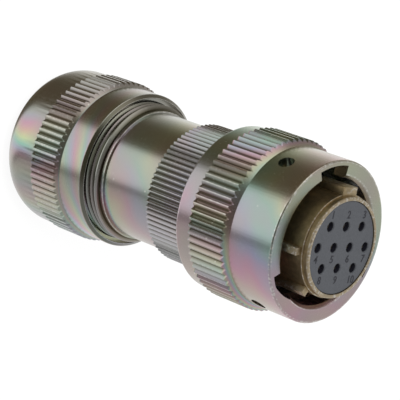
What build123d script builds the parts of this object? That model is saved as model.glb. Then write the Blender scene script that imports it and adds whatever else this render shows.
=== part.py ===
# Bayonet circular connector: a cable plug with ten sockets and a sealing gland.
# It stands on the rear face of its gland nut, and the origin is the centre of that face.
# +Z runs along the connector's axis to the mating face, and the main key is at +Y.
# Lengths are in millimetres, and angles in degrees about +Z from +X.
from build123d import *

import os
from math import cos, pi, radians, sin

# Clearances
turning_gap = 0.05  # radial, where one piece turns or slides on another
fitted_gap = 0.03  # radial, where a piece is pushed or bonded into another
loose_gap = 0.25  # radial, round rubber and round washers that are left loose
cut_past = 0.5  # how far a cut runs past the face that it opens
groove_past = 0.02  # the same for the knurls' grooves, which leave no room for more

# Gland nut, from its rear face upwards
nut_length = 20.1
nut_band_wall = 1.25
nut_dome_wall = 1.6
nut_knurl_height = 0.3
nut_knurl_start = 8.9
nut_knurl_end = 15.0
nut_knurl_count = 74
nut_knurl_crest = 0.16
nut_groove_depth = 0.38
nut_dome_round = 5.4
nut_edge_chamfer = 0.35
nut_floor = 4.0
nut_mouth_depth = 0.9
nut_mouth_step = 0.65
cable_hole_r = 4.75
cable_hole_chamfer = 0.6

# Gland: two washers and the rubber bush between them
slip_washer_thickness = 1.2
gland_length = 10.0
gland_bore_r = 4.2
gland_showing = 3.2
seat_washer_relief = 0.6
seat_washer_thickness = 1.0

# Backshell
cavity_step = 0.76
gland_seat_step = 1.35
nut_thread_wall = 1.75
nut_thread_run_out = 0.5
nut_thread_showing = 2.1
nut_thread_chamfer = 0.25
tube_wall = 2.05
tube_length = 10.6
tube_step = 0.3
tube_step_length = 0.5
collar_height = 0.85
collar_length = 7.7
collar_knurl_count = 80
collar_knurl_crest = 0.12
collar_groove_depth = 0.29
nose_wall = 1.14
nose_gap = 1.0

# Coupling ring, from its front face downwards
ring_clear = 0.4
ring_length = 18.5
ring_front_wall = 0.8
ring_front_length = 8.0
ring_shoulder_length = 0.8
ring_knurl_height = 0.5
ring_knurl_length = 6.6
ring_knurl_count = 72
ring_knurl_crest = 0.16
ring_groove_depth = 0.42
ring_rear_wall = 1.5
ring_rear_chamfer = 0.5
ring_front_chamfer = 0.3
ring_lip_depth = 9.0
lip_chamfer = 0.5
lip_height = 0.8
key_to_lip = 0.85

# Bayonet entries, ramps and view holes in the coupling ring
bayonet_count = 3
bayonet_track_depth = 1.05
entry_angle = 30.4
entry_place = 100.6
lock_wall_angle = 5.9
ramp_start_depth = 3.1
ramp_end_depth = 5.7
view_hole_lead = 0.3
ramp_width = 2.4
view_hole_r = 1.2

# Parts that hold the coupling ring on the shell
clip_thickness = 0.9
clip_height = 0.75
clip_opening = 28.0
thrust_washer_thickness = 0.5
wave_washer_height = 1.5
wave_washer_sheet = 0.3
wave_count = 3
washer_gap = 0.12
washer_edge_gap = 0.07

# Plug shell
barrel_proud = 2.85
insert_edge = 1.59
barrel_wall = 0.76
rim_step = 0.2
rim_length = 0.95
rim_chamfer = 0.2
flange_thickness = 2.3
tail_wall = 1.33
tail_engagement = 9.2
insert_step_height = 0.6
insert_step_width = 0.38
key_height = 1.02
key_foot_gap = 0.5
main_key_width = 3.1
main_key_setback = 0.85
minor_key_width = 1.15
minor_key_setback = 1.25
main_key_place = 90.0
minor_key_places = [-15.0, -50.0, -125.0, -175.0]

# Rubber rings on the shell
shell_seal_thickness = 1.2
gasket_thickness = 0.8

# Insert stack and the ring that holds it
insert_recess = 0.15
front_insert_length = 8.7
rear_insert_length = 12.0
follower_thickness = 2.0
follower_gap = 0.15

# Contacts: ten sockets in rows of three, four and three
contact_pitch = 3.6
contact_rows = [3, 4, 3]
contact_recess = 0.9
contact_r = 0.7
contact_bore_r = 0.53
contact_bore_depth = 6.5
contact_body_r = 0.95
solder_end_length = 5.2
solder_cup_r = 0.6
solder_cup_depth = 3.6

# Heights from the nut's rear face to the mating face
slip_washer_top = nut_floor + slip_washer_thickness
backshell_rear = slip_washer_top + gland_showing
gland_top = slip_washer_top + gland_length
seat_washer_top = gland_top + seat_washer_thickness
nut_thread_end = backshell_rear - nut_thread_run_out
thread_front = nut_length + nut_thread_showing
collar_rear = thread_front + tube_length
collar_front = collar_rear + collar_length
ring_rear = collar_front + ring_clear
ring_front = ring_rear + ring_length
ring_knurl_rear = ring_front - ring_front_length - ring_shoulder_length - ring_knurl_length
barrel_front = ring_front + barrel_proud
flange_front = ring_front - ring_lip_depth
flange_rear = flange_front - flange_thickness
wave_washer_rear = flange_rear - wave_washer_height
thrust_washer_rear = wave_washer_rear - thrust_washer_thickness
clip_rear = thrust_washer_rear - clip_thickness
nose_front = clip_rear - nose_gap
tail_rear = nose_front - tail_engagement
socket_floor = tail_rear - gasket_thickness
key_rear = flange_front + shell_seal_thickness + key_foot_gap
main_key_front = barrel_front - main_key_setback
minor_key_front = barrel_front - minor_key_setback
insert_face = barrel_front - insert_recess
front_insert_rear = insert_face - front_insert_length
insert_step = flange_front + insert_step_height
rear_insert_rear = front_insert_rear - rear_insert_length
follower_rear = rear_insert_rear - follower_thickness
contact_front = insert_face - contact_recess
contact_step = rear_insert_rear
contact_rear = contact_step - solder_end_length

# Contact places, centred on the axis
row_pitch = contact_pitch * cos(radians(30))
contact_places = [
    ((column - (in_row - 1) / 2) * contact_pitch, (1 - row) * row_pitch)
    for row, in_row in enumerate(contact_rows)
    for column in range(in_row)
]
contact_hole_r = contact_r + fitted_gap
contact_reach = (max(contact_rows) - 1) / 2 * contact_pitch
follower_bore_r = contact_reach + contact_body_r + follower_gap

# Shell radii, outwards from the outermost contacts
barrel_bore_r = contact_reach + fitted_gap + insert_edge
barrel_r = barrel_bore_r + barrel_wall
rim_r = barrel_r - rim_step
key_r = barrel_r + key_height
tail_bore_r = barrel_bore_r + insert_step_width
tail_r = tail_bore_r + tail_wall
insert_r = barrel_bore_r - fitted_gap
stack_r = tail_bore_r - fitted_gap

# Coupling ring radii, outwards from the keys
lip_r = key_r + key_to_lip
ring_bore_r = lip_r + lip_height
bayonet_track_r = ring_bore_r + bayonet_track_depth
clip_groove_r = bayonet_track_r - loose_gap
ring_front_r = bayonet_track_r + ring_front_wall
ring_rear_r = clip_groove_r + ring_rear_wall
ring_knurl_r = ring_rear_r + ring_knurl_height

# Radii of what lies between the shell and the ring
flange_r = ring_bore_r - turning_gap
washer_r = ring_bore_r - washer_edge_gap
washer_bore_r = tail_r + washer_gap
clip_r = clip_groove_r - fitted_gap
clip_inner_r = ring_bore_r - clip_height

# Backshell radii, outwards from the shell's tail
socket_r = tail_r + fitted_gap
nose_r = socket_r + nose_wall
backshell_cavity_r = socket_r - cavity_step
tube_r = backshell_cavity_r + tube_wall
collar_r = tube_r + collar_height
gland_seat_r = backshell_cavity_r + gland_seat_step
nut_thread_r = gland_seat_r + nut_thread_wall

# Gland and nut radii, outwards from the gland's seat
gland_r = gland_seat_r - turning_gap
nut_cavity_r = gland_r + loose_gap
slip_washer_r = nut_cavity_r - loose_gap / 2
slip_washer_bore_r = cable_hole_r + loose_gap / 2
nut_thread_bore_r = nut_thread_r + turning_gap
nut_mouth_r = nut_thread_bore_r + nut_mouth_step
nut_band_r = nut_thread_bore_r + nut_band_wall
nut_dome_r = nut_thread_bore_r + nut_dome_wall
nut_knurl_r = nut_dome_r + nut_knurl_height

# Turn between a bayonet entry and its view hole
ramp_turn = 360 / bayonet_count - entry_angle / 2 - lock_wall_angle

os.makedirs("parts", exist_ok=True)


def finish(piece, label):
    """Label a finished piece and write its file."""
    piece.label = label
    export_step(piece, f"parts/{label}.step")


def knurl_grooves(radius, count, crest, depth, bottom):
    """V grooves round a knurled band, as one sketch at the band's lower end."""
    half_width = (2 * pi * radius / count - crest) / 2
    half_past = half_width * (1 + groove_past / depth)
    with BuildSketch(Plane.XY.offset(bottom)) as grooves:
        with PolarLocations(radius, count):
            Polygon((-depth, 0), (groove_past, half_past), (groove_past, -half_past), align=None)
    return grooves.sketch


# Gland nut: knurled, domed at the rear, with the cable hole through its floor
with BuildPart() as gland_nut:
    with BuildSketch(Plane.XZ):
        with BuildLine():
            Polyline(
                (cable_hole_r, 0),
                (nut_dome_r, 0),
                (nut_dome_r, nut_knurl_start),
                (nut_knurl_r, nut_knurl_start),
                (nut_knurl_r, nut_knurl_end),
                (nut_band_r, nut_knurl_end),
                (nut_band_r, nut_length),
                (nut_mouth_r, nut_length),
                (nut_mouth_r, nut_length - nut_mouth_depth),
                (nut_thread_bore_r, nut_length - nut_mouth_depth),
                (nut_thread_bore_r, nut_thread_end),
                (nut_cavity_r, nut_thread_end),
                (nut_cavity_r, nut_floor),
                (cable_hole_r, nut_floor),
                close=True,
            )
        make_face()
    revolve(axis=Axis.Z)
    rear_rims = gland_nut.edges().filter_by(GeomType.CIRCLE).group_by(Axis.Z)[0]
    fillet(rear_rims.sort_by(SortBy.RADIUS)[-1], nut_dome_round)
    rear_rims = gland_nut.edges().filter_by(GeomType.CIRCLE).group_by(Axis.Z)[0]
    chamfer(rear_rims.sort_by(SortBy.RADIUS)[0], cable_hole_chamfer)
    front_rims = gland_nut.edges().filter_by(GeomType.CIRCLE).group_by(Axis.Z)[-1]
    chamfer(front_rims.sort_by(SortBy.RADIUS)[-1], nut_edge_chamfer)
    extrude(
        knurl_grooves(
            nut_knurl_r, nut_knurl_count, nut_knurl_crest, nut_groove_depth, nut_knurl_start
        ),
        amount=nut_knurl_end - nut_knurl_start,
        mode=Mode.SUBTRACT,
    )
finish(gland_nut.part, "gland_nut")

# Slip washer: stays against the nut's floor while the gland turns with the backshell
with BuildPart() as slip_washer:
    with BuildSketch(Plane.XY.offset(nut_floor)):
        Circle(slip_washer_r)
        Circle(slip_washer_bore_r, mode=Mode.SUBTRACT)
    extrude(amount=slip_washer_thickness)
finish(slip_washer.part, "slip_washer")

# Gland: the rubber bush that closes on the cable
with BuildPart() as gland:
    with BuildSketch(Plane.XY.offset(slip_washer_top)):
        Circle(gland_r)
        Circle(gland_bore_r, mode=Mode.SUBTRACT)
    extrude(amount=gland_length)
finish(gland.part, "gland")

# Seat washer: carries the gland's thrust to the backshell's shoulder
with BuildPart() as seat_washer:
    with BuildSketch(Plane.XY.offset(gland_top)):
        Circle(gland_r)
        Circle(gland_bore_r + seat_washer_relief, mode=Mode.SUBTRACT)
    extrude(amount=seat_washer_thickness)
finish(seat_washer.part, "seat_washer")

# Backshell: one turned tube with the nut's thread, a knurled collar and the shell's socket
with BuildPart() as backshell:
    with BuildSketch(Plane.XZ):
        with BuildLine():
            Polyline(
                (gland_seat_r, backshell_rear),
                (nut_thread_r, backshell_rear),
                (nut_thread_r, thread_front),
                (tube_r + tube_step, thread_front),
                (tube_r + tube_step, thread_front + tube_step_length),
                (tube_r, thread_front + tube_step_length),
                (tube_r, collar_rear),
                (collar_r, collar_rear),
                (collar_r, collar_front),
                (nose_r, collar_front),
                (nose_r, nose_front),
                (socket_r, nose_front),
                (socket_r, socket_floor),
                (backshell_cavity_r, socket_floor),
                (backshell_cavity_r, seat_washer_top),
                (gland_seat_r, seat_washer_top),
                close=True,
            )
        make_face()
    revolve(axis=Axis.Z)
    rims = backshell.edges().filter_by(GeomType.CIRCLE)
    thread_ends = rims.filter_by(lambda rim: abs(rim.radius - nut_thread_r) < 0.001)
    chamfer(thread_ends, nut_thread_chamfer)
    extrude(
        knurl_grooves(
            collar_r, collar_knurl_count, collar_knurl_crest, collar_groove_depth, collar_rear
        ),
        amount=collar_length,
        mode=Mode.SUBTRACT,
    )
finish(backshell.part, "backshell")

# Plug shell: barrel with five keys, the flange that the ring bears on and the threaded tail
with BuildPart() as plug_shell:
    with BuildSketch(Plane.XZ):
        with BuildLine():
            Polyline(
                (barrel_bore_r, barrel_front),
                (rim_r - rim_chamfer, barrel_front),
                (rim_r, barrel_front - rim_chamfer),
                (rim_r, barrel_front - rim_length),
                (barrel_r, barrel_front - rim_length),
                (barrel_r, flange_front),
                (flange_r, flange_front),
                (flange_r, flange_rear),
                (tail_r, flange_rear),
                (tail_r, tail_rear),
                (tail_bore_r, tail_rear),
                (tail_bore_r, insert_step),
                (barrel_bore_r, insert_step),
                close=True,
            )
        make_face()
    revolve(axis=Axis.Z)
    key_root_r = barrel_bore_r + fitted_gap
    key_middle_r = (key_root_r + key_r) / 2
    with BuildSketch(Plane.XY.offset(key_rear)):
        with PolarLocations(key_middle_r, 1, start_angle=main_key_place):
            Rectangle(key_r - key_root_r, main_key_width)
    extrude(amount=main_key_front - key_rear)
    with BuildSketch(Plane.XY.offset(key_rear)):
        for place in minor_key_places:
            with PolarLocations(key_middle_r, 1, start_angle=place):
                Rectangle(key_r - key_root_r, minor_key_width)
    extrude(amount=minor_key_front - key_rear)
finish(plug_shell.part, "plug_shell")

# Gasket: the flat rubber ring between the shell's tail and the backshell
with BuildPart() as gasket:
    with BuildSketch(Plane.XY.offset(socket_floor)):
        Circle(tail_r)
        Circle(backshell_cavity_r - fitted_gap, mode=Mode.SUBTRACT)
    extrude(amount=gasket_thickness)
finish(gasket.part, "gasket")

# Shell seal: the flat rubber ring at the foot of the barrel
with BuildPart() as shell_seal:
    with BuildSketch(Plane.XY.offset(flange_front)):
        Circle(lip_r - loose_gap)
        Circle(barrel_r + fitted_gap, mode=Mode.SUBTRACT)
    extrude(amount=shell_seal_thickness)
finish(shell_seal.part, "shell_seal")

# Wave washer: the spring that draws the coupling ring back against the flange
wave_middle_r = (washer_r + washer_bore_r) / 2
wave_swing = (wave_washer_height - wave_washer_sheet) / 2
wave_middle = (flange_rear + wave_washer_rear) / 2
wave_points = [
    (
        wave_middle_r * cos(radians(turn)),
        wave_middle_r * sin(radians(turn)),
        wave_middle + wave_swing * cos(radians(wave_count * turn)),
    )
    for turn in range(0, 360, 15)
]
with BuildPart() as wave_washer:
    with BuildLine() as wave_path:
        Spline(*wave_points, periodic=True)
    with BuildLine(Plane.XY.offset(wave_middle + wave_middle_r)) as wave_guide:
        CenterArc((0, 0), wave_middle_r, 0, 360)
    with BuildSketch(Plane(origin=wave_points[0], x_dir=(1, 0, 0), z_dir=(0, 1, 0))):
        Rectangle(washer_r - washer_bore_r, wave_washer_sheet)
    sweep(path=wave_path.wires()[0], binormal=wave_guide.wires()[0])
finish(wave_washer.part, "wave_washer")

# Thrust washer: slides with the coupling ring and lets it turn against the wave washer
with BuildPart() as thrust_washer:
    with BuildSketch(Plane.XY.offset(thrust_washer_rear)):
        Circle(washer_r)
        Circle(washer_bore_r, mode=Mode.SUBTRACT)
    extrude(amount=thrust_washer_thickness)
finish(thrust_washer.part, "thrust_washer")

# Ring clip: a split ring that springs into the coupling ring's rear groove
with BuildPart() as ring_clip:
    with BuildSketch(Plane.XZ):
        with BuildLine():
            Polyline(
                (clip_inner_r, clip_rear),
                (clip_r, clip_rear),
                (clip_r, thrust_washer_rear),
                (clip_inner_r, thrust_washer_rear),
                close=True,
            )
        make_face()
    revolve(axis=Axis.Z, revolution_arc=360 - clip_opening)
finish(ring_clip.part, "ring_clip")

# Coupling ring: knurled sleeve with three bayonet entries, ramps and view holes
with BuildPart() as entry_cut:
    with BuildSketch(Plane.XZ):
        with BuildLine():
            Polyline(
                (lip_r - cut_past, ring_front + cut_past),
                (bayonet_track_r, ring_front + cut_past),
                (bayonet_track_r, ring_front - ramp_start_depth - ramp_width / 2),
                (lip_r - cut_past, ring_front - ramp_start_depth - ramp_width / 2),
                close=True,
            )
        make_face()
    revolve(axis=Axis.Z, revolution_arc=entry_angle)

ramp_rise = ramp_end_depth - ramp_start_depth
ramp_middle_r = (lip_r - cut_past + bayonet_track_r) / 2
with BuildPart() as ramp_cut:
    with BuildLine() as ramp_path:
        Helix(
            pitch=ramp_rise * 360 / ramp_turn,
            height=ramp_rise,
            radius=ramp_middle_r,
            center=(0, 0, ring_front - ramp_end_depth),
        )
    ramp_edge = ramp_path.edges()[0]
    with BuildSketch(Plane(origin=ramp_edge @ 0, x_dir=(1, 0, 0), z_dir=ramp_edge % 0)):
        Rectangle(bayonet_track_r - lip_r + cut_past, ramp_width)
    sweep(path=ramp_edge, is_frenet=True)

lock_place = entry_place - ramp_turn
view_hole_height = ring_front - ramp_end_depth + view_hole_lead
with BuildPart() as coupling_ring:
    with BuildSketch(Plane.XZ):
        with BuildLine():
            Polyline(
                (lip_r, ring_front - lip_chamfer),
                (lip_r + lip_chamfer, ring_front),
                (ring_front_r, ring_front),
                (ring_front_r, ring_front - ring_front_length),
                (ring_knurl_r, ring_front - ring_front_length - ring_shoulder_length),
                (ring_knurl_r, ring_knurl_rear),
                (ring_rear_r, ring_knurl_rear),
                (ring_rear_r, ring_rear),
                (ring_bore_r, ring_rear),
                (ring_bore_r, clip_rear),
                (clip_groove_r, clip_rear),
                (clip_groove_r, thrust_washer_rear),
                (ring_bore_r, thrust_washer_rear),
                (ring_bore_r, flange_front),
                (lip_r, flange_front),
                close=True,
            )
        make_face()
    revolve(axis=Axis.Z)
    rims = coupling_ring.edges().filter_by(GeomType.CIRCLE)
    chamfer(rims.group_by(Axis.Z)[0].sort_by(SortBy.RADIUS)[-1], ring_rear_chamfer)
    rims = coupling_ring.edges().filter_by(GeomType.CIRCLE)
    chamfer(rims.group_by(Axis.Z)[-1].sort_by(SortBy.RADIUS)[-1], ring_front_chamfer)
    extrude(
        knurl_grooves(
            ring_knurl_r, ring_knurl_count, ring_knurl_crest, ring_groove_depth, ring_knurl_rear
        ),
        amount=ring_knurl_length + ring_shoulder_length,
        mode=Mode.SUBTRACT,
    )
    with PolarLocations(0, bayonet_count, start_angle=entry_place - entry_angle / 2):
        add(entry_cut.part, mode=Mode.SUBTRACT)
    with PolarLocations(0, bayonet_count, start_angle=lock_place):
        add(ramp_cut.part, mode=Mode.SUBTRACT)
    for turn in range(bayonet_count):
        hole_place = lock_place + turn * 360 / bayonet_count
        outward = (cos(radians(hole_place)), sin(radians(hole_place)), 0)
        with BuildSketch(Plane(origin=(0, 0, view_hole_height), z_dir=outward)):
            Circle(view_hole_r)
        extrude(amount=ring_front_r + cut_past, mode=Mode.SUBTRACT)
finish(coupling_ring.part, "coupling_ring")

# Front insert: grey rubber face with a hole over each socket
with BuildPart() as front_insert:
    with BuildSketch(Plane.XY.offset(front_insert_rear)):
        Circle(insert_r)
        with Locations(*contact_places):
            Circle(contact_hole_r, mode=Mode.SUBTRACT)
    extrude(amount=front_insert_length)
finish(front_insert.part, "front_insert")

# Rear insert: the rigid block that holds the contacts by their shoulders
with BuildPart() as rear_insert:
    with BuildSketch(Plane.XY.offset(rear_insert_rear)):
        Circle(stack_r)
    extrude(amount=insert_step - rear_insert_rear)
    with BuildSketch(Plane.XY.offset(insert_step)):
        Circle(insert_r)
    extrude(amount=front_insert_rear - insert_step)
    with BuildSketch(Plane.XY.offset(rear_insert_rear)):
        with Locations(*contact_places):
            Circle(contact_hole_r)
    extrude(amount=rear_insert_length, mode=Mode.SUBTRACT)
finish(rear_insert.part, "rear_insert")

# Follower: the threaded ring that holds the inserts in the shell
with BuildPart() as follower:
    with BuildSketch(Plane.XY.offset(follower_rear)):
        Circle(stack_r)
        Circle(follower_bore_r, mode=Mode.SUBTRACT)
    extrude(amount=follower_thickness)
finish(follower.part, "follower")

# Contacts: ten sockets, each with a pin bore in front and a solder cup behind
for number, (across, up) in enumerate(contact_places, start=1):
    axis_line = Axis((across, up, 0), (0, 0, 1))
    with BuildPart() as contact:
        with BuildSketch(Plane(origin=(across, up, 0), x_dir=(1, 0, 0), z_dir=(0, -1, 0))):
            with BuildLine():
                Polyline(
                    (0, contact_rear + solder_cup_depth),
                    (solder_cup_r, contact_rear + solder_cup_depth),
                    (solder_cup_r, contact_rear),
                    (contact_body_r, contact_rear),
                    (contact_body_r, contact_step),
                    (contact_r, contact_step),
                    (contact_r, contact_front),
                    (contact_bore_r, contact_front),
                    (contact_bore_r, contact_front - contact_bore_depth),
                    (0, contact_front - contact_bore_depth),
                    close=True,
                )
            make_face()
        revolve(axis=axis_line)
    finish(contact.part, f"contact_{number}")
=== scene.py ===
# Bayonet circular connector: ten socket contacts in a keyed shell, with a knurled coupling
# ring, a backshell and a sealing gland. It stands on the rear face of its gland nut.
from math import atan2, cos, degrees, hypot, pi, radians, sin

import bmesh
import bpy
from mathutils import Matrix, Vector


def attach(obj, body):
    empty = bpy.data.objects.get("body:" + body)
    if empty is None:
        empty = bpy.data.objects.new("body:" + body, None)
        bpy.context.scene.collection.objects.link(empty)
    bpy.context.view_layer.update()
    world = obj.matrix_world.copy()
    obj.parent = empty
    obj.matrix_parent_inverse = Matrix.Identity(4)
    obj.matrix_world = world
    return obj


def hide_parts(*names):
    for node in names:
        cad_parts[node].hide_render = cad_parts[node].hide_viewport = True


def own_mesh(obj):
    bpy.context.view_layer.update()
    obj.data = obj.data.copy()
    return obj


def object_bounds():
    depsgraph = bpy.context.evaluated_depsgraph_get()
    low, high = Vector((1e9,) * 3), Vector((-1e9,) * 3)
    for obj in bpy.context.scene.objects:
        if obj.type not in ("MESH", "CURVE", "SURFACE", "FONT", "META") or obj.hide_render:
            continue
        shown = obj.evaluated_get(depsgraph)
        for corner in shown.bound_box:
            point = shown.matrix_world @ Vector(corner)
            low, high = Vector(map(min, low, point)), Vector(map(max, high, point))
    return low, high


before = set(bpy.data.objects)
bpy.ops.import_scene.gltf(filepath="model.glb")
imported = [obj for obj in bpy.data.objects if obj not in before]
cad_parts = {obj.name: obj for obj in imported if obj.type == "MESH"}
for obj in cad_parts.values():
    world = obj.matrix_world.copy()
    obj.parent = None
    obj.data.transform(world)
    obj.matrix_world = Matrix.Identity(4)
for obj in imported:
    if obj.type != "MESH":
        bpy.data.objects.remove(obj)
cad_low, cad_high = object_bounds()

# Gland nut
# A turned aluminium cap with a domed rear, a knurled grip and a plain band at its mouth.
# It is chromate plated, and screws onto the backshell to squeeze the rubber gland.
mm = 0.001
edge_break = 0.1  # mm, the usual small round on a turned edge
edge_hold = 0.12  # mm, how close the rows that keep a flat face flat stand to its edges
worn_round = 0.3  # mm, the largest edge round that wears through to bare metal
arc_from = 2  # mm, from this size on a round is a visible arc and takes more segments
merge_gap = 0.002  # mm, points closer than this become one
crisp_angle = radians(26)


def turned(corners, steps):
    """A turned form: corners are (radius, height, edge round) in mm, spun round the axis."""
    form = bmesh.new()
    wear_and_shade = form.verts.layers.float.new("wear_and_shade")
    points = [form.verts.new((radius * mm, 0, height * mm)) for radius, height, _ in corners]
    for start, end in zip(points, points[1:] + points[:1]):
        if start.co.x or end.co.x:
            form.edges.new((start, end))
    for size in sorted({corner[2] for corner in corners} - {0}):
        bmesh.ops.bevel(
            form,
            geom=[point for point, corner in zip(points, corners) if corner[2] == size],
            offset=size * mm,
            offset_type="OFFSET",
            segments=20 if size > arc_from else 4,
            profile=0.5,
            affect="VERTICES",
            material=-1,
            clamp_overlap=False,
        )
    for radius, height, size in corners:
        corner = Vector((radius * mm, 0, height * mm))
        for point in form.verts:
            if (point.co - corner).length < min(size, worn_round) * 1.05 * mm:
                point[wear_and_shade] = 1
    for edge in form.edges[:]:
        start, end = edge.verts
        if edge.calc_length() > 4 * edge_hold * mm:
            for corner in (start, end):
                far = edge.other_vert(corner)
                _, row = bmesh.utils.edge_split(edge, corner, edge_hold * mm / edge.calc_length())
                row[wear_and_shade] = 0
                edge = next(part for part in row.link_edges if far in part.verts)
    bmesh.ops.spin(
        form,
        geom=form.verts[:] + form.edges[:],
        axis=(0, 0, 1),
        cent=(0, 0, 0),
        angle=2 * pi,
        steps=steps,
        use_merge=True,
    )
    bmesh.ops.remove_doubles(form, verts=form.verts, dist=merge_gap * mm)
    bmesh.ops.recalc_face_normals(form, faces=form.faces)
    return form


stations = 6  # rows of points to each groove of a knurl
floor_half = 0.03  # mm, half the width of a groove's floor
crest_outside, crest_inside, crest_drop = 0.035, 0.015, 0.04  # mm, the round along a crest
crest_wear = 0.6
same_height = 0.01  # mm, heights closer than this are the same
end_row = 0.15  # mm, how far past a band's end its next row of points can stand


def knurled(form, count, surface_r, depth, crest, low, high, slope=0):
    """V grooves pressed along a band, leaving narrow crests; slope is that of the band's end."""
    pitch = 2 * pi / count
    foot = floor_half / surface_r
    rim = pitch / 2 - (crest / 2 + crest_outside) / surface_r
    top = pitch / 2 - (crest / 2 - crest_inside) / surface_r
    shifts = [foot, rim, top, pitch - top, pitch - rim, pitch - foot]
    floors = [depth, crest_drop, 0, 0, crest_drop, depth]
    wear_and_shade = form.verts.layers.float["wear_and_shade"]
    for point in form.verts:
        turn = atan2(point.co.y, point.co.x) % (2 * pi)
        groove, station = divmod(round(turn / pitch * stations), stations)
        radius, height = hypot(point.co.x, point.co.y), point.co.z
        in_band = low - same_height < height / mm < high + end_row
        if in_band and radius > (surface_r - depth) * mm:
            pressed = min(radius, (surface_r - floors[station]) * mm)
            above_end = height / mm - high
            # Groove floors take values below 0: painted shade with some grime, deepest at the
            # floor.
            if floors[station]:
                point[wear_and_shade] = 0 if above_end > -same_height else -floors[station] / depth
            else:
                point[wear_and_shade] = 0 if above_end > same_height else crest_wear
            if above_end > -same_height:
                height += (radius - pressed) * slope
            radius = pressed
        turn = groove * pitch + shifts[station]
        point.co = (radius * cos(turn), radius * sin(turn), height)
    bmesh.ops.remove_doubles(form, verts=form.verts, dist=merge_gap * mm)


def crisp(form, name, material):
    """The finished mesh object: smooth faces that meet in crisp edges."""
    for face in form.faces:
        face.smooth = True
    for edge in form.edges:
        edge.smooth = edge.calc_face_angle(0) < crisp_angle
    mesh = bpy.data.meshes.new(name)
    form.to_mesh(mesh)
    form.free()
    mesh.materials.append(material)
    piece = bpy.data.objects.new(name, mesh)
    bpy.context.collection.objects.link(piece)
    return piece


def stands_for(piece, node, body):
    """The piece takes the place of a CAD node and moves with its body."""
    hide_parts(node)
    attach(piece, body)


def effect(name, inputs, outputs):
    """An empty node group with named sockets, its input node and its output node."""
    group = bpy.data.node_groups.new(name, "ShaderNodeTree")
    for label, kind, value in inputs:
        socket = group.interface.new_socket(name=label, in_out="INPUT", socket_type=kind)
        socket.default_value = value
    for label, kind in outputs:
        group.interface.new_socket(name=label, in_out="OUTPUT", socket_type=kind)
    return group, group.nodes.new("NodeGroupInput"), group.nodes.new("NodeGroupOutput")


def placed(tree, group, **values):
    """An effect's node in a material, with the material's own values."""
    node = tree.nodes.new("ShaderNodeGroup")
    node.node_tree = group
    for label, value in values.items():
        node.inputs[label].default_value = value
    return node


def object_place(tree, stretch=(1, 1, 1)):
    """Object coordinates in millimetres, stretched along an axis if asked."""
    place = tree.nodes.new("ShaderNodeTexCoord")
    sized = tree.nodes.new("ShaderNodeMapping")
    sized.inputs["Scale"].default_value = [share / mm for share in stretch]
    tree.links.new(place.outputs["Object"], sized.inputs["Vector"])
    return sized.outputs["Vector"]


def noise(tree, place, scale, detail):
    """A noise from 0 to 1 at a place in mm; the scale is its patches per mm."""
    node = tree.nodes.new("ShaderNodeTexNoise")
    node.inputs["Scale"].default_value = scale
    node.inputs["Detail"].default_value = detail
    tree.links.new(place, node.inputs["Vector"])
    return node.outputs["Fac"]


def colour_ramp(tree, share, stops):
    """The colour at a share from 0 to 1 of the way along (place, colour) stops."""
    node = tree.nodes.new("ShaderNodeValToRGB")
    for index, (place, colour) in enumerate(stops):
        if index < 2:
            stop = node.color_ramp.elements[index]
            stop.position = place
        else:
            stop = node.color_ramp.elements.new(place)
        stop.color = (*colour, 1)
    tree.links.new(share, node.inputs["Fac"])
    return node.outputs["Color"]


def maths(tree, operation, first, second=None, third=None):
    """One sum on sockets or numbers, and its result."""
    node = tree.nodes.new("ShaderNodeMath")
    node.operation = operation
    for slot, value in enumerate((first, second, third)):
        if value is None:
            continue
        if isinstance(value, (int, float)):
            node.inputs[slot].default_value = value
        else:
            tree.links.new(value, node.inputs[slot])
    return node.outputs[0]


def held(tree, value, low, high):
    """A value held between two limits."""
    return maths(tree, "MINIMUM", maths(tree, "MAXIMUM", value, low), high)


def split(tree, colour):
    """The three channels of a colour that holds three values."""
    node = tree.nodes.new("ShaderNodeSeparateColor")
    tree.links.new(colour, node.inputs[0])
    return node.outputs["Red"], node.outputs["Green"], node.outputs["Blue"]


def blended(tree, share, first, second, way="MIX", clamped=True):
    """Two colours, each a socket or plain, blended by a share."""
    node = tree.nodes.new("ShaderNodeMix")
    node.data_type = "RGBA"
    node.blend_type = way
    node.clamp_factor = clamped
    tree.links.new(share, node.inputs["Factor"])
    for label, colour in (("A", first), ("B", second)):
        if isinstance(colour, tuple):
            node.inputs[label].default_value = (*colour, 1)
        else:
            tree.links.new(colour, node.inputs[label])
    return node.outputs["Result"]


# Thin chromate film: its thickness drifts along the part, and its colours go round with it
# from straw through green, lilac, pink and copper back to straw. A row's last value is how
# strong the colours are there, and a negative rise runs the other way, up the part's side.
part_length = cad_high.z / mm
most_rounds = 3  # the ramp holds values up to 1, so a row's thickness is a share of this
rise_span = 0.5  # colour rounds per mm, from the steepest rise one way to the other way
film_table = [
    # height along the part, thickness in colour rounds, its rise per mm down, colour strength
    (0.0, 1.07, 0.18, 0.3),
    (8.8, 1.07, 0.18, 0.3),
    (9.0, 1.05, 0.08, 0.65),
    (14.8, 1.2, 0.08, 0.65),
    (15.1, 0.69, -0.096, 0.8),
    (17.5, 1.22, -0.096, 0.8),
    (19.5, 1.88, -0.096, 0.8),
    (19.7, 2.95, 0.015, 0.5),
    (20.2, 2.95, 0.015, 0.5),
    (20.8, 1.0, 0.02, 0.3),
    (21.9, 1.0, 0.02, 0.3),
    (22.0, 1.85, 0.1, 0.8),
    (22.7, 1.85, 0.1, 0.8),
    (24.0, 1.38, 0.046, 0.65),
    (32.6, 0.95, 0.046, 0.45),
    (33.0, 1.12, 0.0, 0.4),
    (40.4, 1.12, 0.0, 0.4),
    (41.0, 1.25, 0.03, 0.6),
    (43.8, 1.25, 0.03, 0.6),
    (44.2, 1.85, 0.15, 0.65),
    (50.4, 1.85, 0.15, 0.65),
    (51.6, 1.23, 0.04, 0.9),
    (59.2, 0.95, 0.04, 0.9),
    (59.6, 1.09, 0.024, 0.5),
]
plain_metal = (0.42, 0.41, 0.38)
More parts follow.
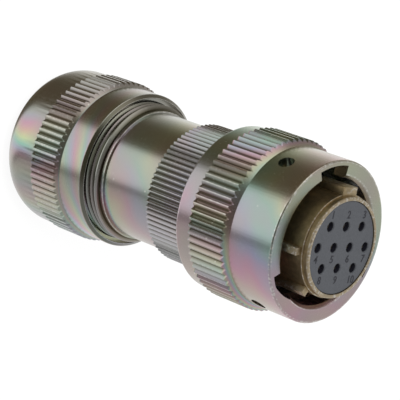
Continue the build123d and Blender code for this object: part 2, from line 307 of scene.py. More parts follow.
film, film_in, film_out = effect(
    "chromate film",
    [("Metal", "NodeSocketColor", (*plain_metal, 1))],
    [("Color", "NodeSocketColor")],
)
film_place = object_place(film)
film_axes = film.nodes.new("ShaderNodeSeparateXYZ")
film.links.new(film_place, film_axes.inputs[0])
film_up, film_along = film_axes.outputs["Y"], film_axes.outputs["Z"]
film_row = colour_ramp(
    film,
    maths(film, "DIVIDE", film_along, part_length),
    [
        (z / part_length, (rounds / most_rounds, 0.5 + rise / rise_span, strength))
        for z, rounds, rise, strength in film_table
    ],
)
row_rounds, row_rise, row_strength = split(film, film_row)
film_start = maths(film, "MULTIPLY", row_rounds, most_rounds)
film_rise = maths(film, "MULTIPLY_ADD", row_rise, -rise_span, rise_span / 2)
film_slant = maths(film, "MULTIPLY_ADD", film_up, film_rise, film_start)
film_drift = noise(film, film_place, scale=0.16, detail=1)
film_phase = maths(film, "MULTIPLY_ADD", film_drift, 0.5, film_slant)
straw, green, lilac, pink, copper = (
    (0.51, 0.56, 0.37),
    (0.32, 0.52, 0.43),
    (0.40, 0.41, 0.53),
    (0.57, 0.33, 0.42),
    (0.57, 0.43, 0.36),
)
film_colours = colour_ramp(
    film,
    maths(film, "FRACT", film_phase),
    [(0.0, straw), (0.2, green), (0.4, lilac), (0.6, pink), (0.8, copper), (1.0, straw)],
)

# The colours come and go in broad patches, fade on the upper side of the rear half, and are
# strongest in one spot on the nut's dome.
broad_patches = noise(film, film_place, scale=0.11, detail=1)
film_patch = maths(film, "MULTIPLY_ADD", broad_patches, 2.2, -0.4)
film_amount = maths(film, "MULTIPLY", film_patch, row_strength)
low_side = maths(film, "MULTIPLY_ADD", film_up, -0.12, 1.5)
front_half = maths(film, "MULTIPLY_ADD", film_along, 0.1, -2.2)
film_fade = maths(film, "MINIMUM", maths(film, "MAXIMUM", low_side, front_half), 1)
film_amount = maths(film, "MULTIPLY", film_amount, maths(film, "MAXIMUM", film_fade, 0.2))
from_spot = film.nodes.new("ShaderNodeVectorMath")
from_spot.operation = "DISTANCE"
from_spot.inputs[1].default_value = (-12.5, 1.9, 6)  # mm, the spot's place
film.links.new(film_place, from_spot.inputs[0])
film_spot = maths(film, "MULTIPLY_ADD", from_spot.outputs["Value"], -0.33, 1.55)
film_amount = maths(film, "MAXIMUM", maths(film, "MAXIMUM", film_amount, film_spot), 0)
film_colour = blended(film, film_amount, film_in.outputs["Metal"], film_colours, clamped=False)
film.links.new(film_colour, film_out.inputs["Color"])

# Wear, grime and painted shade: bright bare specks on worn edges, painted shade with some grime
# down in grooves and threads, and a few grains of dust anywhere. The attribute that carries this
# is above 0 on a worn edge and below 0 where painted shade and grime darken the metal.
shade_and_grime_tint = (0.25, 0.23, 0.16)
bare_metal = (0.8, 0.78, 0.74)
aging_and_shade, aging_and_shade_in, aging_and_shade_out = effect(
    "wear and grime",
    [("Metal", "NodeSocketColor", (*plain_metal, 1))],
    [("Color", "NodeSocketColor")],
)
aging_and_shade_place = object_place(aging_and_shade)
wear_and_shade_node = aging_and_shade.nodes.new("ShaderNodeAttribute")
wear_and_shade_node.attribute_name = "wear_and_shade"
wear_and_shade_here = wear_and_shade_node.outputs["Fac"]
# Painted shade with some grime: the metal darkens where the attribute is below 0.
shade_and_grime_here = maths(aging_and_shade, "MAXIMUM", maths(aging_and_shade, "MULTIPLY", wear_and_shade_here, -1), 0)
shade_and_grime_share = maths(aging_and_shade, "POWER", shade_and_grime_here, 2)
shaded_and_grimy = blended(aging_and_shade, shade_and_grime_share, aging_and_shade_in.outputs["Metal"], shade_and_grime_tint, way="MULTIPLY")
specks = noise(aging_and_shade, aging_and_shade_place, scale=2.3, detail=4)
speck_share = maths(aging_and_shade, "MULTIPLY_ADD", specks, 6.5, -3.25)
speck_share = held(aging_and_shade, speck_share, 0.14, 0.62)
bare_edge = maths(aging_and_shade, "MULTIPLY", speck_share, maths(aging_and_shade, "MAXIMUM", wear_and_shade_here, 0))
grains = aging_and_shade.nodes.new("ShaderNodeTexVoronoi")
grains.inputs["Scale"].default_value = 0.7
aging_and_shade.links.new(aging_and_shade_place, grains.inputs["Vector"])
grain_chance, _, _ = split(aging_and_shade, grains.outputs["Color"])
grain_r = maths(aging_and_shade, "MULTIPLY_ADD", grain_chance, 0.25, -0.12)
grain_share = maths(aging_and_shade, "SUBTRACT", grain_r, grains.outputs["Distance"])
grain_share = held(aging_and_shade, maths(aging_and_shade, "MULTIPLY", grain_share, 12), 0, 0.5)
aged_and_shaded = blended(aging_and_shade, maths(aging_and_shade, "MAXIMUM", bare_edge, grain_share), shaded_and_grimy, bare_metal)
aging_and_shade.links.new(aged_and_shaded, aging_and_shade_out.inputs["Color"])

# Turning marks and blasted grain: fine rings round the axis under a fine speckle.
roughness_spread = 0.16
grain, grain_in, grain_out = effect(
    "turned grain",
    [
        ("Rings", "NodeSocketFloat", 0.5),
        ("Speckle", "NodeSocketFloat", 0.5),
        ("Roughness", "NodeSocketFloat", 0.25),
    ],
    [("Height", "NodeSocketFloat"), ("Roughness", "NodeSocketFloat")],
)
ring_marks = noise(grain, object_place(grain, stretch=(0.02, 0.02, 9)), scale=5, detail=3)
speck_marks = noise(grain, object_place(grain), scale=7, detail=4)
ring_height = maths(grain, "MULTIPLY", ring_marks, grain_in.outputs["Rings"])
grain_height = maths(grain, "MULTIPLY_ADD", speck_marks, grain_in.outputs["Speckle"], ring_height)
smoothest = maths(grain, "SUBTRACT", grain_in.outputs["Roughness"], roughness_spread / 2)
grain_roughness = maths(grain, "MULTIPLY_ADD", speck_marks, roughness_spread, smoothest)
grain.links.new(grain_height, grain_out.inputs["Height"])
grain.links.new(grain_roughness, grain_out.inputs["Roughness"])


def mottled(tree, share, colour, dark, light):
    """A colour that drifts between a darker and a lighter shade of itself."""
    return colour_ramp(
        tree,
        share,
        [
            (0.3, [part * dark for part in colour]),
            (0.7, [min(1, part * light) for part in colour]),
        ],
    )


def bumped(tree, height, strength, depth):
    """Gives the material a fine relief of a depth in mm."""
    bump = tree.nodes.new("ShaderNodeBump")
    bump.inputs["Strength"].default_value = strength
    bump.inputs["Distance"].default_value = depth * mm
    tree.links.new(height, bump.inputs["Height"])
    tree.links.new(bump.outputs["Normal"], tree.nodes["Principled BSDF"].inputs["Normal"])


def plated(name, metal, roughness, film_coloured=True):
    """Satin plated metal over turned grain, with the film's drifting colours if it has them."""
    material = bpy.data.materials.new(name)
    material.use_nodes = True
    tree = material.node_tree
    shader = tree.nodes["Principled BSDF"]
    shader.inputs["Metallic"].default_value = 1
    if film_coloured:
        tint = placed(tree, film, Metal=(*metal, 1)).outputs["Color"]
    else:
        drift = noise(tree, object_place(tree), scale=1.5, detail=4)
        tint = mottled(tree, drift, metal, dark=0.8, light=1.15)
    surface = placed(tree, grain, Roughness=roughness)
    worn_and_shaded = placed(tree, aging_and_shade)
    tree.links.new(tint, worn_and_shaded.inputs["Metal"])
    tree.links.new(worn_and_shaded.outputs["Color"], shader.inputs["Base Color"])
    tree.links.new(surface.outputs["Roughness"], shader.inputs["Roughness"])
    bumped(tree, surface.outputs["Height"], strength=0.12, depth=0.02)
    return material


nut_grooves = 74
nut_groove_depth, nut_crest = 0.4, 0.36
grip_low, grip_high, grip_r = 8.9, 14.35, 13.05
dome_r, dome_round = 12.75, 5.4
nut_front, nut_band_r = 20.1, 12.4
mouth_r, mouth_depth, mouth_chamfer = 11.8, 0.9, 0.5
mouth_round = 0.04
nut_thread_r, nut_thread_rear = 11.15, 7.9
gland_bore_r, gland_seat = 9.55, 4.0
cable_hole_r, cable_hole_chamfer = 4.75, 0.6
nut_form = turned(
    [
        (cable_hole_r + cable_hole_chamfer, 0, edge_break),
        (dome_r, 0, dome_round),
        (dome_r, grip_low, 0),
        (grip_r, grip_low, edge_break),
        (grip_r, grip_high, 0),
        (nut_band_r, grip_high + grip_r - nut_band_r, 0),
        (nut_band_r, nut_front - mouth_chamfer, 0),
        (nut_band_r - mouth_chamfer, nut_front, mouth_round),
        (mouth_r, nut_front, mouth_round),
        (mouth_r, nut_front - mouth_depth, 0),
        (nut_thread_r, nut_front - mouth_depth, edge_break),
        (nut_thread_r, nut_thread_rear, 0),
        (gland_bore_r, nut_thread_rear, edge_break),
        (gland_bore_r, gland_seat, 0),
        (cable_hole_r, gland_seat, edge_break),
        (cable_hole_r, cable_hole_chamfer, edge_break),
    ],
    steps=nut_grooves * stations,
)
knurled(nut_form, nut_grooves, grip_r, nut_groove_depth, nut_crest, grip_low, grip_high, slope=1)

# Painted shade with some grime darkens the chamfer at the nut's mouth, and handling wears the
# chamfer's outer edge.
nut_wear_and_shade = nut_form.verts.layers.float["wear_and_shade"]
chamfer_edge_wear, chamfer_shade_and_grime = 0.8, -0.85
near_radius, near_height = 0.02, 0.05  # mm, how far off the chamfer's ends a point may be
for point in nut_form.verts:
    outward = point.co.to_2d().length / mm - (nut_band_r - mouth_chamfer)
    upward = point.co.z / mm - (nut_front - mouth_chamfer)
    if upward > -near_height and outward > mouth_chamfer - near_radius:
        point[nut_wear_and_shade] = chamfer_edge_wear
    elif upward > near_height and outward > near_radius:
        point[nut_wear_and_shade] = chamfer_shade_and_grime
chromate = plated("olive chromate", metal=(0.42, 0.4, 0.365), roughness=0.24)
nut = crisp(nut_form, "knurled_gland_nut", chromate)
stands_for(nut, "gland_nut", "gland_nut")

# Gland and its washers
# A black rubber bush between two steel washers. The nut squeezes it onto the cable, and the
# slip washer lets the nut turn without twisting the rubber.


def speckled(name, colour, roughness, metallic, speck_scale, speck_depth, mottle):
    """A material with its own mottled colour and a fine surface grain."""
    material = bpy.data.materials.new(name)
    material.use_nodes = True
    tree = material.node_tree
    shader = tree.nodes["Principled BSDF"]
    shader.inputs["Metallic"].default_value = metallic
    shader.inputs["Roughness"].default_value = roughness
    speck = noise(tree, object_place(tree), scale=speck_scale, detail=5)
    tone = mottled(tree, speck, colour, dark=1 - mottle, light=1 + mottle)
    tree.links.new(tone, shader.inputs["Base Color"])
    bumped(tree, speck, strength=0.4, depth=speck_depth)
    return material


def dress(material, *names):
    """Give CAD nodes that keep their own mesh a material."""
    for name in names:
        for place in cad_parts[name].material_slots:
            place.material = material


black_rubber = speckled(
    "black rubber",
    colour=(0.03, 0.03, 0.032),
    roughness=0.6,
    metallic=0,
    speck_scale=3,
    speck_depth=0.02,
    mottle=0.25,
)
washer_steel = speckled(
    "washer steel",
    colour=(0.55, 0.55, 0.54),
    roughness=0.32,
    metallic=1,
    speck_scale=5,
    speck_depth=0.01,
    mottle=0.12,
)
dress(black_rubber, "gland")
dress(washer_steel, "slip_washer", "seat_washer")

# Backshell
# One turned tube: the cut thread that the nut runs on, a smooth neck, a fine-knurled collar
# for the assembly wrench and the nose that screws onto the plug's tail.
carve_gap = 0.0005  # mm, points closer than this become one after a cut


def turning_tool(corners, start, turn, rise, steps):
    """A solid swept round the axis: corners are (radius, height) in mm, turns are in degrees."""
    tool = bmesh.new()
    points = [tool.verts.new((radius * mm, 0, height * mm)) for radius, height in corners]
    for first, second in zip(points, points[1:] + points[:1]):
        tool.edges.new((first, second))
    to_start = Matrix.Rotation(radians(start), 3, "Z")
    bmesh.ops.rotate(tool, verts=tool.verts, cent=(0, 0, 0), matrix=to_start)
    bmesh.ops.spin(
        tool,
        geom=tool.verts[:] + tool.edges[:],
        axis=(0, 0, 1),
        cent=(0, 0, 0),
        dvec=(0, 0, rise * mm / steps),
        angle=radians(turn),
        steps=steps,
        use_merge=False,
    )
    bmesh.ops.holes_fill(tool, edges=[edge for edge in tool.edges if edge.is_boundary], sides=0)
    bmesh.ops.recalc_face_normals(tool, faces=tool.faces)
    return tool


def carved(form, tools, operation="DIFFERENCE"):
    """The form with the tools cut away, or joined to it; the tools don't touch each other."""
    tool = bmesh.new()
    for part in tools:
        mesh = bpy.data.meshes.new("tool")
        part.to_mesh(mesh)
        part.free()
        tool.from_mesh(mesh)
        bpy.data.meshes.remove(mesh)
    pair = []
    for part in (form, tool):
        mesh = bpy.data.meshes.new("carving")
        part.to_mesh(mesh)
        part.free()
        pair.append(bpy.data.objects.new("carving", mesh))
        bpy.context.collection.objects.link(pair[-1])
    carving = pair[0].modifiers.new("carving", "BOOLEAN")
    carving.operation = operation
    carving.solver = "EXACT"
    carving.object = pair[1]
    depsgraph = bpy.context.evaluated_depsgraph_get()
    result = bmesh.new()
    result.from_object(pair[0], depsgraph)
    for part in pair:
        spent = part.data
        bpy.data.objects.remove(part)
        bpy.data.meshes.remove(spent)
    bmesh.ops.remove_doubles(result, verts=result.verts, dist=carve_gap * mm)
    return result


thread_r, thread_rear, thread_front = 11.1, 8.4, 21.95
relief_r, relief_front = 10.35, 22.7
neck_r = 10.05
collar_r, collar_rear, collar_front = 10.9, 32.8, 40.5
collar_grooves = 80
collar_groove_depth, collar_crest = 0.4, 0.11
nose_r, nose_front = 9.9, 44.2
nose_bore_r, nose_bore_rear = 8.76, 34.2
tube_bore_r, tube_bore_rear = 8.0, 16.2
gland_seat_r = 9.35
backshell_form = turned(
    [
        (gland_seat_r, thread_rear, edge_break),
        (thread_r, thread_rear, 0.25),
        (thread_r, thread_front, 0.2),
        (relief_r, thread_front, 0),
        (relief_r, relief_front, edge_break),
        (neck_r, relief_front, 0),
        (neck_r, collar_rear, 0),
        (collar_r, collar_rear, 0.12),
        (collar_r, collar_front, 0.15),
        (nose_r, collar_front, 0),
        (nose_r, nose_front, 0.2),
        (nose_bore_r, nose_front, edge_break),
        (nose_bore_r, nose_bore_rear, 0),
        (tube_bore_r, nose_bore_rear, edge_break),
        (tube_bore_r, tube_bore_rear, edge_break),
        (gland_seat_r, tube_bore_rear, 0),
    ],
    steps=collar_grooves * stations,
)
knurled(
    backshell_form,
    collar_grooves,
    collar_r,
    collar_groove_depth,
    collar_crest,
    collar_rear,
    collar_front,
)
thread_pitch, thread_turns = 1.0, 11
thread_depth, thread_past = 0.6, 0.1
thread_root_half, thread_mouth_half = 0.05, 0.46
thread_groove_top = 22.65
thread_groove = turning_tool(
    [
        (thread_r - thread_depth, -thread_root_half),
        (thread_r - thread_depth, thread_root_half),
        (thread_r + thread_past, thread_mouth_half),
        (thread_r + thread_past, -thread_mouth_half),
    ],
    start=0,
    turn=-360 * thread_turns,
    rise=-thread_pitch * thread_turns,
    steps=96 * thread_turns,
)
bmesh.ops.translate(thread_groove, verts=thread_groove.verts, vec=(0, 0, thread_groove_top * mm))
backshell_form = carved(backshell_form, [thread_groove])

# Painted shade with some grime darkens the thread, most down in it, and a little stays on the
# crests.
backshell_wear_and_shade = backshell_form.verts.layers.float["wear_and_shade"]
least_shade_and_grime = 0.3
for point in backshell_form.verts:
    radius = point.co.to_2d().length / mm
    if point.co.z < (thread_front + near_height) * mm and radius > neck_r + near_height:
        point[backshell_wear_and_shade] = -min(1, max(least_shade_and_grime, (thread_r - radius) / thread_depth))
backshell = crisp(backshell_form, "knurled_backshell", chromate)
stands_for(backshell, "backshell", "plug_body")
dress(black_rubber, "gasket")

# Plug shell
# A turned aluminium barrel with five keys that find the receptacle's keyways. The wide main
# key is at the top. Its plating is a dull dark bronze.
key_low_r, key_high_r, key_rear = 7.3, 8.8, 52.1
key_wear = 0.7


def key_bar(width, front, place):
    """One key: a bar along the barrel with broken edges, at an angle in degrees."""
    bar = bmesh.new()
    wear_and_shade = bar.verts.layers.float.new("wear_and_shade")
    size = Matrix.Diagonal(
        ((key_high_r - key_low_r) * mm, width * mm, (front - key_rear) * mm, 1)
    )
    middle = Matrix.Translation(((key_low_r + key_high_r) / 2 * mm, 0, (front + key_rear) / 2 * mm))
    turn = Matrix.Rotation(radians(place), 4, "Z")
    bmesh.ops.create_cube(bar, size=1, matrix=turn @ middle @ size)
    bmesh.ops.bevel(
        bar,
        geom=bar.edges[:],
        offset=edge_break * mm,
        segments=2,
        profile=0.5,
        affect="EDGES",
        material=-1,
    )
    for point in bar.verts:
        point[wear_and_shade] = key_wear if point.co.z > (front - 2 * edge_break) * mm else 0
    return bar


barrel_r, rim_r, rim_rear = 7.78, 7.58, 61.3
face_bore_r = 7.02
flange_r, flange_rear, flange_front = 10.4, 48.1, 50.4
tail_r, tail_rear = 8.73, 35.0
shell_bore_r, shell_bore_front = 7.4, 51.0
shell_form = turned(
    [
        (face_bore_r, part_length, 0.06),
        (rim_r, part_length, 0.2),
        (rim_r, rim_rear, 0),
        (barrel_r, rim_rear, 0.08),
        (barrel_r, flange_front, 0),
        (flange_r, flange_front, edge_break),
        (flange_r, flange_rear, edge_break),
        (tail_r, flange_rear, 0),
        (tail_r, tail_rear, 0.2),
        (shell_bore_r, tail_rear, edge_break),
        (shell_bore_r, shell_bore_front, 0),
        (face_bore_r, shell_bore_front, 0.05),
    ],
    steps=240,
)
keys = [
    # width and front in mm, angle in degrees
    (3.1, 61.4, 90),
    (1.15, 61.0, -15),
    (1.15, 61.0, -50),
    (1.15, 61.0, -125),
    (1.15, 61.0, -175),
]
shell_form = carved(shell_form, [key_bar(*key) for key in keys], "UNION")
bronze = plated(
    "dull bronze",
    metal=(0.42, 0.325, 0.185),
    roughness=0.42,
    film_coloured=False,
)
shell = crisp(shell_form, "keyed_plug_shell", bronze)
stands_for(shell, "plug_shell", "plug_body")
dress(black_rubber, "shell_seal")
dress(bronze, "follower")

# Contacts
# Ten machined sockets, gold over brass, each with a pin bore in front and a solder cup behind.
# The rigid block behind the rubber face holds them by their shoulders.
# The gold is much darker than real gold: painted shade for the sockets seen down in their holes.
shaded_contact_gold = plated(
    "contact gold darkened as painted shade",
    metal=(0.16, 0.11, 0.05),
    roughness=0.5,
    film_coloured=False,
)
moulded_block = speckled(
    "moulded block",
    colour=(0.02, 0.022, 0.024),
    roughness=0.5,
    metallic=0,
    speck_scale=2,
    speck_depth=0.02,
    mottle=0.2,
)
dress(moulded_block, "rear_insert")
contact_spacing = 3.6
contacts_in_rows = [3, 4, 3]
row_spacing = contact_spacing * cos(radians(30))
contact_places = [
    ((column - (in_row - 1) / 2) * contact_spacing, (1 - row) * row_spacing)
    for row, in_row in enumerate(contacts_in_rows)
    for column in range(in_row)
]
cup_r, cup_floor = 0.6, 39.8
shoulder_r, contact_rear, shoulder_front = 0.95, 36.2, 41.4
socket_r, contact_front = 0.7, 61.2
pin_bore_r, pin_bore_floor = 0.53, 54.7
for number, (across, up) in enumerate(contact_places, start=1):
    contact_form = turned(
        [
            (0, cup_floor, 0),
            (cup_r, cup_floor, 0),
            (cup_r, contact_rear, 0.05),
            (shoulder_r, contact_rear, edge_break),
            (shoulder_r, shoulder_front, 0.08),
            (socket_r, shoulder_front, 0),
            (socket_r, contact_front, edge_break),
            (pin_bore_r, contact_front, 0.06),
            (pin_bore_r, pin_bore_floor, 0),
            (0, pin_bore_floor, 0),
        ],
        steps=32,
    )
    bmesh.ops.translate(contact_form, verts=contact_form.verts, vec=(across * mm, up * mm, 0))
    contact = crisp(contact_form, f"socket_{number}", shaded_contact_gold)
    stands_for(contact, f"contact_{number}", "plug_body")

# Front insert
# The moulded blue-grey rubber face, bonded into the barrel, with a hole over each socket and
# a small moulded number beside it.
insert_r, insert_rear, insert_front = 6.99, 53.4, 62.1
insert_form = turned(
    [
        (0, insert_rear, 0),
        (insert_r, insert_rear, edge_break),
        (insert_r, insert_front, 0.15),
        (0, insert_front, 0),
    ],
    steps=180,
)
hole_r, hole_mouth_r = 0.73, 1.0
hole_rear, hole_mouth_low, hole_mouth_high = 53.0, 61.98, 62.3
hole_tools = []
for across, up in contact_places:
    hole_tool = turned(
        [
            (0, hole_rear, 0),
            (hole_r, hole_rear, 0),
            (hole_r, hole_mouth_low, 0),
            (hole_mouth_r, hole_mouth_high, 0),
            (0, hole_mouth_high, 0),
        ],
        steps=40,
    )
    bmesh.ops.translate(hole_tool, verts=hole_tool.verts, vec=(across * mm, up * mm, 0))
    hole_tools.append(hole_tool)
insert_form = carved(insert_form, hole_tools)
face_rubber = speckled(
    "blue-grey rubber",
    colour=(0.062, 0.066, 0.075),
    roughness=0.55,
    metallic=0,
    speck_scale=5,
    speck_depth=0.03,
    mottle=0.14,
)
insert = crisp(insert_form, "rubber_socket_face", face_rubber)
numbers_and_hole_shade_rubber = speckled(
    "moulded numbers and painted hole shade",
    colour=(0.012, 0.012, 0.018),
    roughness=0.5,
    metallic=0,
    speck_scale=8,
    speck_depth=0.02,
    mottle=0.2,
)
insert.data.materials.append(numbers_and_hole_shade_rubber)
# Painted shade: the walls of the socket holes take the numbers' near-black rubber.
shaded_hole_walls_within, shaded_hole_walls_below = 6.8, 61.9  # the holes' walls are as dark as the numbers
for face in insert.data.polygons:
    off_axis, height = face.center.to_2d().length / mm, face.center.z / mm
    if off_axis < shaded_hole_walls_within and height < shaded_hole_walls_below and face.normal.z > -0.5:
        face.material_index = 1
stands_for(insert, "front_insert", "plug_body")

number_size, number_depth, number_offset = 1.6, 0.02, 1.75
number_sink = 0.01  # mm, how deep each number's rear is sunk in the face
for number, (across, up) in enumerate(contact_places, start=1):
    shape = bpy.data.curves.new(f"number_{number}", "FONT")
    shape.body = str(number)
    shape.size = number_size * mm
    shape.extrude = number_depth * mm
    shape.offset = number_depth * mm
    shape.align_x = "CENTER"
    shape.align_y = "CENTER"
    above = 1 if up > hole_r else -1  # only the top row has its numbers above the holes
    shape_object = bpy.data.objects.new(f"number_{number}", shape)
    bpy.context.collection.objects.link(shape_object)
    number_up = up + above * number_offset
    number_height = insert_front + number_depth - number_sink
    shape_object.location = (across * mm, number_up * mm, number_height * mm)
    bpy.context.view_layer.update()
    mark_mesh = bpy.data.meshes.new_from_object(shape_object)
    mark_mesh.transform(shape_object.matrix_world)
    bpy.data.objects.remove(shape_object)
    mark_mesh.materials.clear()
    mark_mesh.materials.append(numbers_and_hole_shade_rubber)
    mark = bpy.data.objects.new(f"moulded_number_{number}", mark_mesh)
    bpy.context.collection.objects.link(mark)
    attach(mark, "plug_body")

# Wave washer, thrust washer and ring clip
# The steel parts that hold the coupling ring on the shell. The wave washer is the spring, and
# it flattens as the ring is pulled forward; it is built here only in its rest shape.
wave_bore_r, wave_r = 8.85, 10.38
wave_rear, wave_front = 47.2, 47.5
wave_height, wave_count = 0.6, 3
wave_form = turned(
    [
        (wave_bore_r, wave_rear, 0),
        (wave_r, wave_rear, 0),
        (wave_r, wave_front, 0),
        (wave_bore_r, wave_front, 0),
    ],
    steps=144,
)
for point in wave_form.verts:
    point.co.z += wave_height * mm * cos(wave_count * atan2(point.co.y, point.co.x))
wave = crisp(wave_form, "sprung_wave_washer", washer_steel)
stands_for(wave, "wave_washer", "plug_body")
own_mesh(wave)
dress(washer_steel, "thrust_washer", "ring_clip")

# Coupling ring
# A turned sleeve with a coarse knurl. Three entries in its lip lead the receptacle's pins
# into helical ramps, and a round hole shows each pin when it has locked.
ring_grooves = 72
ring_groove_depth, ring_crest = 0.47, 0.2
lip_r, lip_chamfer, lip_rear, ring_front = 9.65, 0.5, 50.4, 59.4
sleeve_r, shoulder_low, shoulder_high = 12.3, 50.6, 51.4
knurl_r, knurl_rear = 13.24, 44.0
ring_band_r, ring_rear = 12.75, 40.9
ring_bore_r = 10.45
clip_groove_r, clip_groove_rear, clip_groove_front = 11.25, 45.2, 46.1
ring_form = turned(
    [
        (lip_r, ring_front - lip_chamfer, 0.08),
        (lip_r + lip_chamfer, ring_front, 0.08),
        (sleeve_r, ring_front, 0.3),
        (sleeve_r, shoulder_high, 0),
        (knurl_r, shoulder_low, 0),
        (knurl_r, knurl_rear, edge_break),
        (ring_band_r, knurl_rear, 0),
        (ring_band_r, ring_rear, 0.5),
        (ring_bore_r, ring_rear, 0.15),
        (ring_bore_r, clip_groove_rear, 0),
        (clip_groove_r, clip_groove_rear, 0),
        (clip_groove_r, clip_groove_front, 0),
        (ring_bore_r, clip_groove_front, 0),
        (ring_bore_r, lip_rear, 0),
        (lip_r, lip_rear, edge_break),
    ],
    steps=ring_grooves * stations,
)
knurled(
    ring_form,
    ring_grooves,
    knurl_r,
    ring_groove_depth,
    ring_crest,
    knurl_rear,
    shoulder_low,
    slope=(shoulder_high - shoulder_low) / (knurl_r - sleeve_r),
)
cut_from_r, track_r = 9.0, 11.5
outer_points_from = 11.0  # mm, a cutter's points past this radius are its outer ones
entry_floor, entry_past = 55.1, 60.0
ramp_low, ramp_high, ramp_rise = 52.5, 54.9, 2.6
entry_place, ramp_turn = 100.6, 98.9  # degrees
view_hole_r, view_hole_height, view_hole_depth = 1.2, 54.0, 4
slant = 0.061  # mm of radius that the slanted entry loses per degree
entries, ramp_cuts, view_holes = [], [], []
for turn, first, last, slanted_from in (
    # degrees: the pin's turn, the entry's two sides, and where a slanted one starts to close
    (0, 85.4, 115.8, 115.8),
    (120, 205.4, 235.8, 214.4),
    (240, 331, 355.8, 355.8),
):
    entry = turning_tool(
        [
            (cut_from_r, entry_floor),
            (cut_from_r, entry_past),
            (track_r, entry_past),
            (track_r, entry_floor),
        ],
        start=first,
        turn=last - first,
        rise=0,
        steps=24,
    )
    for point in entry.verts:
        place = degrees(atan2(point.co.y, point.co.x)) % 360
        if point.co.to_2d().length > outer_points_from * mm and place > slanted_from:
            point.co.xy *= (track_r - slant * (place - slanted_from)) / track_r
    entries.append(entry)
    ramp_end = entry_place - ramp_turn + turn
    ramp_cut = turning_tool(
        [
            (cut_from_r, ramp_low),
            (cut_from_r, ramp_high),
            (track_r, ramp_high),
            (track_r, ramp_low),
        ],
        start=ramp_end,
        turn=ramp_turn,
        rise=ramp_rise,
        steps=60,
    )
    ramp_cuts.append(ramp_cut)
    view_hole = bmesh.new()
    outward = Matrix.Rotation(radians(ramp_end), 4, "Z")
    through_wall = Matrix.Translation((track_r * mm, 0, view_hole_height * mm))
    bmesh.ops.create_cone(
        view_hole,
        cap_ends=True,
        segments=48,
        radius1=view_hole_r * mm,
        radius2=view_hole_r * mm,
        depth=view_hole_depth * mm,
        matrix=outward @ through_wall @ Matrix.Rotation(pi / 2, 4, "Y"),
    )
    view_holes.append(view_hole)
for tools in (entries, ramp_cuts, view_holes):
    ring_form = carved(ring_form, tools)
ring = crisp(ring_form, "bayonet_coupling_ring", chromate)
stands_for(ring, "coupling_ring", "coupling_ring")

# Studio
# A white table under even daylight, inside a light tent with a bright left wall, a dark top
# and a dark opening for the camera. The plated tubes show these as bands along them.
table_mesh = bpy.data.meshes.new("table")
table_form = bmesh.new()
bmesh.ops.create_grid(table_form, x_segments=1, y_segments=1, size=3)
bmesh.ops.translate(table_form, verts=table_form.verts, vec=(0, 0, -0.02 * mm))
table_form.to_mesh(table_mesh)
table_form.free()
table_white = bpy.data.materials.new("white table")
table_white.use_nodes = True
table_tree = table_white.node_tree
table_shader = table_tree.nodes["Principled BSDF"]
table_shader.inputs["Base Color"].default_value = (0.9, 0.9, 0.9, 1)
table_shader.inputs["Roughness"].default_value = 0.9
table_shader.inputs["Specular IOR Level"].default_value = 0
glow = table_tree.nodes.new("ShaderNodeEmission")
glow.inputs["Strength"].default_value = 1.05
table_ray = table_tree.nodes.new("ShaderNodeLightPath")
glow_share = maths(table_tree, "MULTIPLY", table_ray.outputs["Is Camera Ray"], 0.85)
table_blend = table_tree.nodes.new("ShaderNodeMixShader")
table_tree.links.new(glow_share, table_blend.inputs[0])
table_tree.links.new(table_shader.outputs[0], table_blend.inputs[1])
table_tree.links.new(glow.outputs[0], table_blend.inputs[2])
table_tree.links.new(table_blend.outputs[0], table_tree.nodes["Material Output"].inputs["Surface"])
table_mesh.materials.append(table_white)
table = bpy.data.objects.new("table", table_mesh)
bpy.context.collection.objects.link(table)
table.visible_glossy = False

# The tent shows only in reflections, and an even white daylight lights everything else.
world = bpy.data.worlds.new("studio")
bpy.context.scene.world = world
world.use_nodes = True
tent = world.node_tree
way = tent.nodes.new("ShaderNodeTexCoord")


def along(axis):
    """How far the direction looked in goes along an axis of the photographer's tent."""
    node = tent.nodes.new("ShaderNodeVectorMath")
    node.operation = "DOT_PRODUCT"
    node.inputs[1].default_value = axis
    tent.links.new(way.outputs["Generated"], node.inputs[0])
    return node.outputs["Value"]


def spread(value, low, high):
    """The value's share of the way from low to high, eased at both ends."""
    node = tent.nodes.new("ShaderNodeMapRange")
    node.interpolation_type = "SMOOTHSTEP"
    node.inputs["From Min"].default_value = low
    node.inputs["From Max"].default_value = high
    tent.links.new(value, node.inputs["Value"])
    return node.outputs[0]


def wall(value, stops):
    """Colour along a value that runs from -1 to 1."""
    share = tent.nodes.new("ShaderNodeMapRange")
    share.inputs["From Min"].default_value = -1
    tent.links.new(value, share.inputs["Value"])
    halved = [((place + 1) / 2, colour) for place, colour in stops]
    return colour_ramp(tent, share.outputs[0], halved)


def grey(light):
    """A neutral colour of one brightness."""
    return (light, light, light)


tent_right = along((0.675, 0.198, 0.711))
tent_up = along((0, 0.963, -0.268))
tent_near = along((-0.738, 0.181, 0.65))
drape = (0.14, 0.117, 0.078)
backdrop = wall(
    tent_up,
    [
        (-1, grey(0.95)),
        (0.17, grey(1.05)),
        (0.42, grey(1.1)),
        (0.55, (0.93, 0.91, 0.87)),
        (0.67, (0.62, 0.6, 0.56)),
        (0.77, (0.42, 0.4, 0.35)),
        (0.85, (0.28, 0.26, 0.2)),
        (0.9, (0.19, 0.17, 0.12)),
        (1, drape),
    ],
)
table_top = wall(
    tent_near,
    [
        (-1, grey(0.92)),
        (-0.6, grey(0.78)),
        (-0.3, grey(0.69)),
        (0, grey(0.57)),
        (0.6, grey(0.47)),
        (1, grey(0.4)),
    ],
)

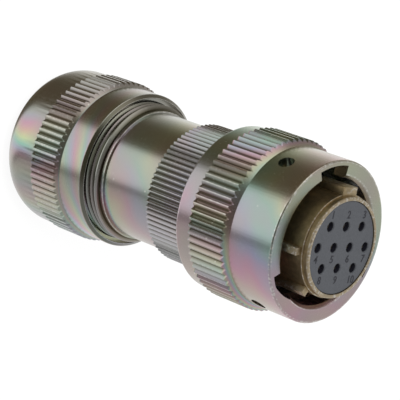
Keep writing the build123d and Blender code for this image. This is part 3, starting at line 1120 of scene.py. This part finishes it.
# The walls, the table, the two light boxes, the camera's opening and the seam in the tent are
# laid over each other in this order.
room = blended(tent, spread(tent_right, -0.3, 0.03), drape, backdrop)
room = blended(tent, spread(tent_right, 0.3, 0.8), room, (0.33, 0.32, 0.29))
room = blended(tent, spread(tent_up, 0.2, 0.07), room, table_top)
right_box = spread(along((0.082, 0.722, 0.692)), 0.86, 1)
room = blended(tent, right_box, room, (1.08, 1.05, 1.03))
left_side = spread(along((0.724, 0.684, 0.092)), 0.03, -0.09)
left_box = maths(tent, "MULTIPLY", left_side, spread(tent_up, -0.07, 0.03))
room = blended(tent, left_box, room, grey(1.05))
camera_opening = spread(tent_near, 0.74, 0.88)
room = blended(tent, camera_opening, room, (0.13, 0.115, 0.09))
seam_band = maths(tent, "MULTIPLY", spread(tent_up, -0.2, -0.12), spread(tent_up, -0.03, -0.1))
seam_end = maths(tent, "MULTIPLY", spread(tent_near, -0.7, -0.2), spread(tent_right, -0.4, -0.7))
seam = maths(tent, "MULTIPLY", seam_band, seam_end)
room = blended(tent, seam, room, (0.15, 0.14, 0.13))
tent_light = tent.nodes.new("ShaderNodeBackground")
tent.links.new(room, tent_light.inputs["Color"])
daylight = tent.nodes["Background"]
daylight.inputs["Color"].default_value = (1, 1, 1, 1)
daylight.inputs["Strength"].default_value = 0.9
tent_ray = tent.nodes.new("ShaderNodeLightPath")
lit_by = tent.nodes.new("ShaderNodeMixShader")
tent.links.new(tent_ray.outputs["Is Glossy Ray"], lit_by.inputs[0])
tent.links.new(daylight.outputs[0], lit_by.inputs[1])
tent.links.new(tent_light.outputs[0], lit_by.inputs[2])
tent.links.new(lit_by.outputs[0], tent.nodes["World Output"].inputs["Surface"])

lamp = bpy.data.lights.new("soft lamp", "AREA")
lamp.shape = "DISK"
lamp.size = 0.35
lamp.energy = 2.0
lamp_object = bpy.data.objects.new("soft lamp", lamp)
bpy.context.collection.objects.link(lamp_object)
lamp_object.location = (-0.25, 0.25, 0.5)
lamp_object.visible_glossy = False
lamp_way = Vector((0, 0, 0.03)) - lamp_object.location
lamp_object.rotation_euler = lamp_way.to_track_quat("-Z", "Y").to_euler()

# Camera
# It looks down the connector's side at its mating face, with the axis lying to the right. Its
# place and lens were fitted to the connector's round edges in the photograph.
camera = bpy.data.cameras.new("camera")
camera.lens = 171.9
camera.sensor_width = 36
camera.clip_start = 0.01
camera_object = bpy.data.objects.new("camera", camera)
bpy.context.collection.objects.link(camera_object)
camera_object.location = (-0.2155, 0.0521, 0.2236)
camera_object.rotation_euler = (radians(-22.594), radians(-45.235), radians(16.57))
bpy.context.scene.camera = camera_object
bpy.context.scene.view_settings.view_transform = "Standard"
